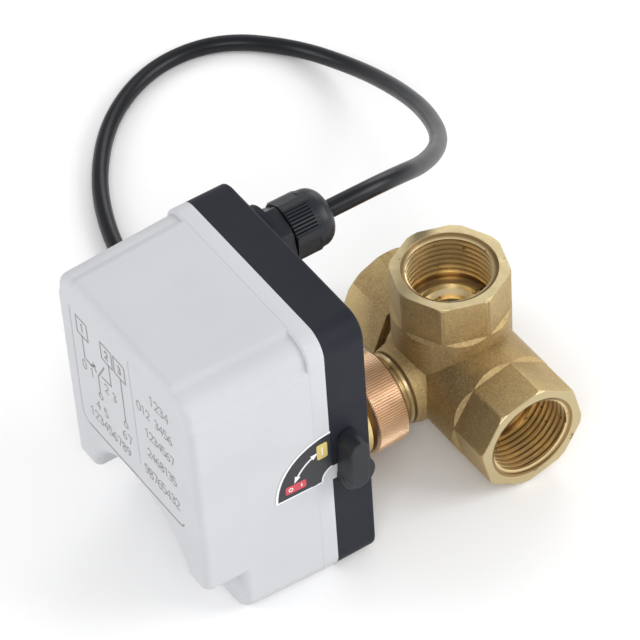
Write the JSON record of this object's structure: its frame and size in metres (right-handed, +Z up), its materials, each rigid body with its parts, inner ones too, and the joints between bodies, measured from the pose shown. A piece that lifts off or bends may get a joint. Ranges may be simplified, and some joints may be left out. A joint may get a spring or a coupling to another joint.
{
  "type": "zone valve",
  "caption": "Motorised three-way brass zone valve: grey and black geared actuator with manual lever, union nut, L-bored ball, threaded ports and a black cord.",
  "frame": {"origin": "on the surface, under the centre of the box round the valve and actuator without the free cord", "axes": "+X along the valve stem from actuator to valve, +Z up along the branch port, the manual lever on the -Y side"},
  "size_m": [0.198, 0.2684, 0.114],
  "materials": {
    "shell_grey": "fine grained, satin",
    "shell_black": "fine grained, matte",
    "seal_rubber": "matte",
    "zinc_screw": "zinc plated",
    "legend_black": "printed film",
    "steel_plate": "pressed, plated",
    "motor_steel": "plated can",
    "gear_white": "moulded acetal",
    "gear_brass": "cut brass",
    "shaft_steel": "turned",
    "cam_red": "moulded",
    "switch_black": "moulded",
    "board_green": "solder mask",
    "capacitor_film": "sleeved",
    "terminal_green": "moulded",
    "lever_black": "satin",
    "bright_brass": "machined",
    "copper_nut": "knurled, copper toned",
    "cast_brass": "forged and machined",
    "seat_ptfe": "PTFE",
    "ball_chrome": "plated",
    "gland_black": "nylon",
    "cord_black": "PVC sheath",
    "core_brown": "PVC",
    "core_blue": "PVC",
    "core_green": "PVC, green with yellow",
    "ferrule_tin": "tinned"
  },
  "bodies": {
    "housing": {"cover": "shell_grey", "base": "shell_black", "cover_gasket": "seal_rubber", "cover_screws": "zinc_screw", "legend_plate": "legend_black", "gear_plate": "steel_plate", "gear_plate_screws": "zinc_screw", "gear_axles": "shaft_steel", "motor": "motor_steel", "motor_screws": "zinc_screw", "switch_inner": "switch_black", "switch_outer": "switch_black", "switch_lever_inner": "shaft_steel", "switch_lever_outer": "shaft_steel", "switch_screws": "zinc_screw", "circuit_board": "board_green", "board_posts": "shaft_steel", "capacitor": "capacitor_film", "relay": "switch_black", "terminal_block": "terminal_green", "terminal_screws": "zinc_screw", "terminal_posts": "shell_black", "neck_sleeve": "cast_brass", "neck_screws": "zinc_screw", "stop_ring": "bright_brass", "valve_body": "cast_brass", "seat_near": "seat_ptfe", "seat_far": "seat_ptfe", "seat_up": "seat_ptfe", "seat_retainer": "bright_brass", "thrust_washer": "seat_ptfe", "gland_body": "gland_black", "gland_locknut": "gland_black", "gland_seal": "seal_rubber", "cord": "cord_black", "core_brown": "core_brown", "core_blue": "core_blue", "core_earth": "core_green", "ferrules": "ferrule_tin"},
    "drive": {"ball": "ball_chrome", "stem": "bright_brass", "stem_rings": "seal_rubber", "output_shaft": "shaft_steel", "output_gear": "gear_brass", "shaft_clip": "shaft_steel", "cam_inner": "cam_red", "cam_outer": "cam_red"},
    "second_gear": {"gear_two": "gear_white"},
    "first_gear": {"gear_one": "gear_white"},
    "rotor": {"motor_pinion": "gear_brass"},
    "manual_lever": {"lever": "lever_black", "lever_clip": "shaft_steel", "lever_cam": "gear_white", "lever_seal": "seal_rubber"},
    "coupling_nut": {"union_nut": "copper_nut"},
    "cable_nut": {"gland_nut": "gland_black"}
  },
  "joints": [
    {"name": "ball_turn", "type": "hinge", "parent": "housing", "child": "drive", "pos_m": [-0.0242, 0.0052, 0.0218], "axis": [-1, 0, 0], "range_deg": [0, 90]},
    {"name": "second_gear_turn", "type": "hinge", "parent": "housing", "child": "second_gear", "pos_m": [-0.0242, 0.0132, 0.04272], "axis": [-1, 0, 0], "range_deg": [-330.5, 0]},
    {"name": "first_gear_turn", "type": "hinge", "parent": "housing", "child": "first_gear", "pos_m": [-0.0242, 0.0012, 0.05614], "axis": [-1, 0, 0], "range_deg": [0, 1320.5]},
    {"name": "rotor_turn", "type": "hinge", "parent": "housing", "child": "rotor", "pos_m": [-0.0242, 0.0052, 0.07008], "axis": [-1, 0, 0], "range_deg": [-5060.5, 0]},
    {"name": "lever_turn", "type": "hinge", "parent": "housing", "child": "manual_lever", "pos_m": [-0.0162, -0.0378, 0.0486], "axis": [0, -1, 0], "range_deg": [0, 76]},
    {"name": "coupling_nut_turn", "type": "hinge", "parent": "housing", "child": "coupling_nut", "pos_m": [0.0178, 0.0052, 0.0218], "axis": [1, 0, 0], "continuous": true},
    {"name": "cable_nut_turn", "type": "hinge", "parent": "housing", "child": "cable_nut", "pos_m": [0.0088, 0.0252, 0.0991], "axis": [1, 0, 0], "continuous": true}
  ],
  "couplings": [
    {"joint": "second_gear_turn", "follows": "ball_turn", "ratio": -3.6667},
    {"joint": "first_gear_turn", "follows": "ball_turn", "ratio": 14.667},
    {"joint": "rotor_turn", "follows": "ball_turn", "ratio": -56.222}
  ]
}
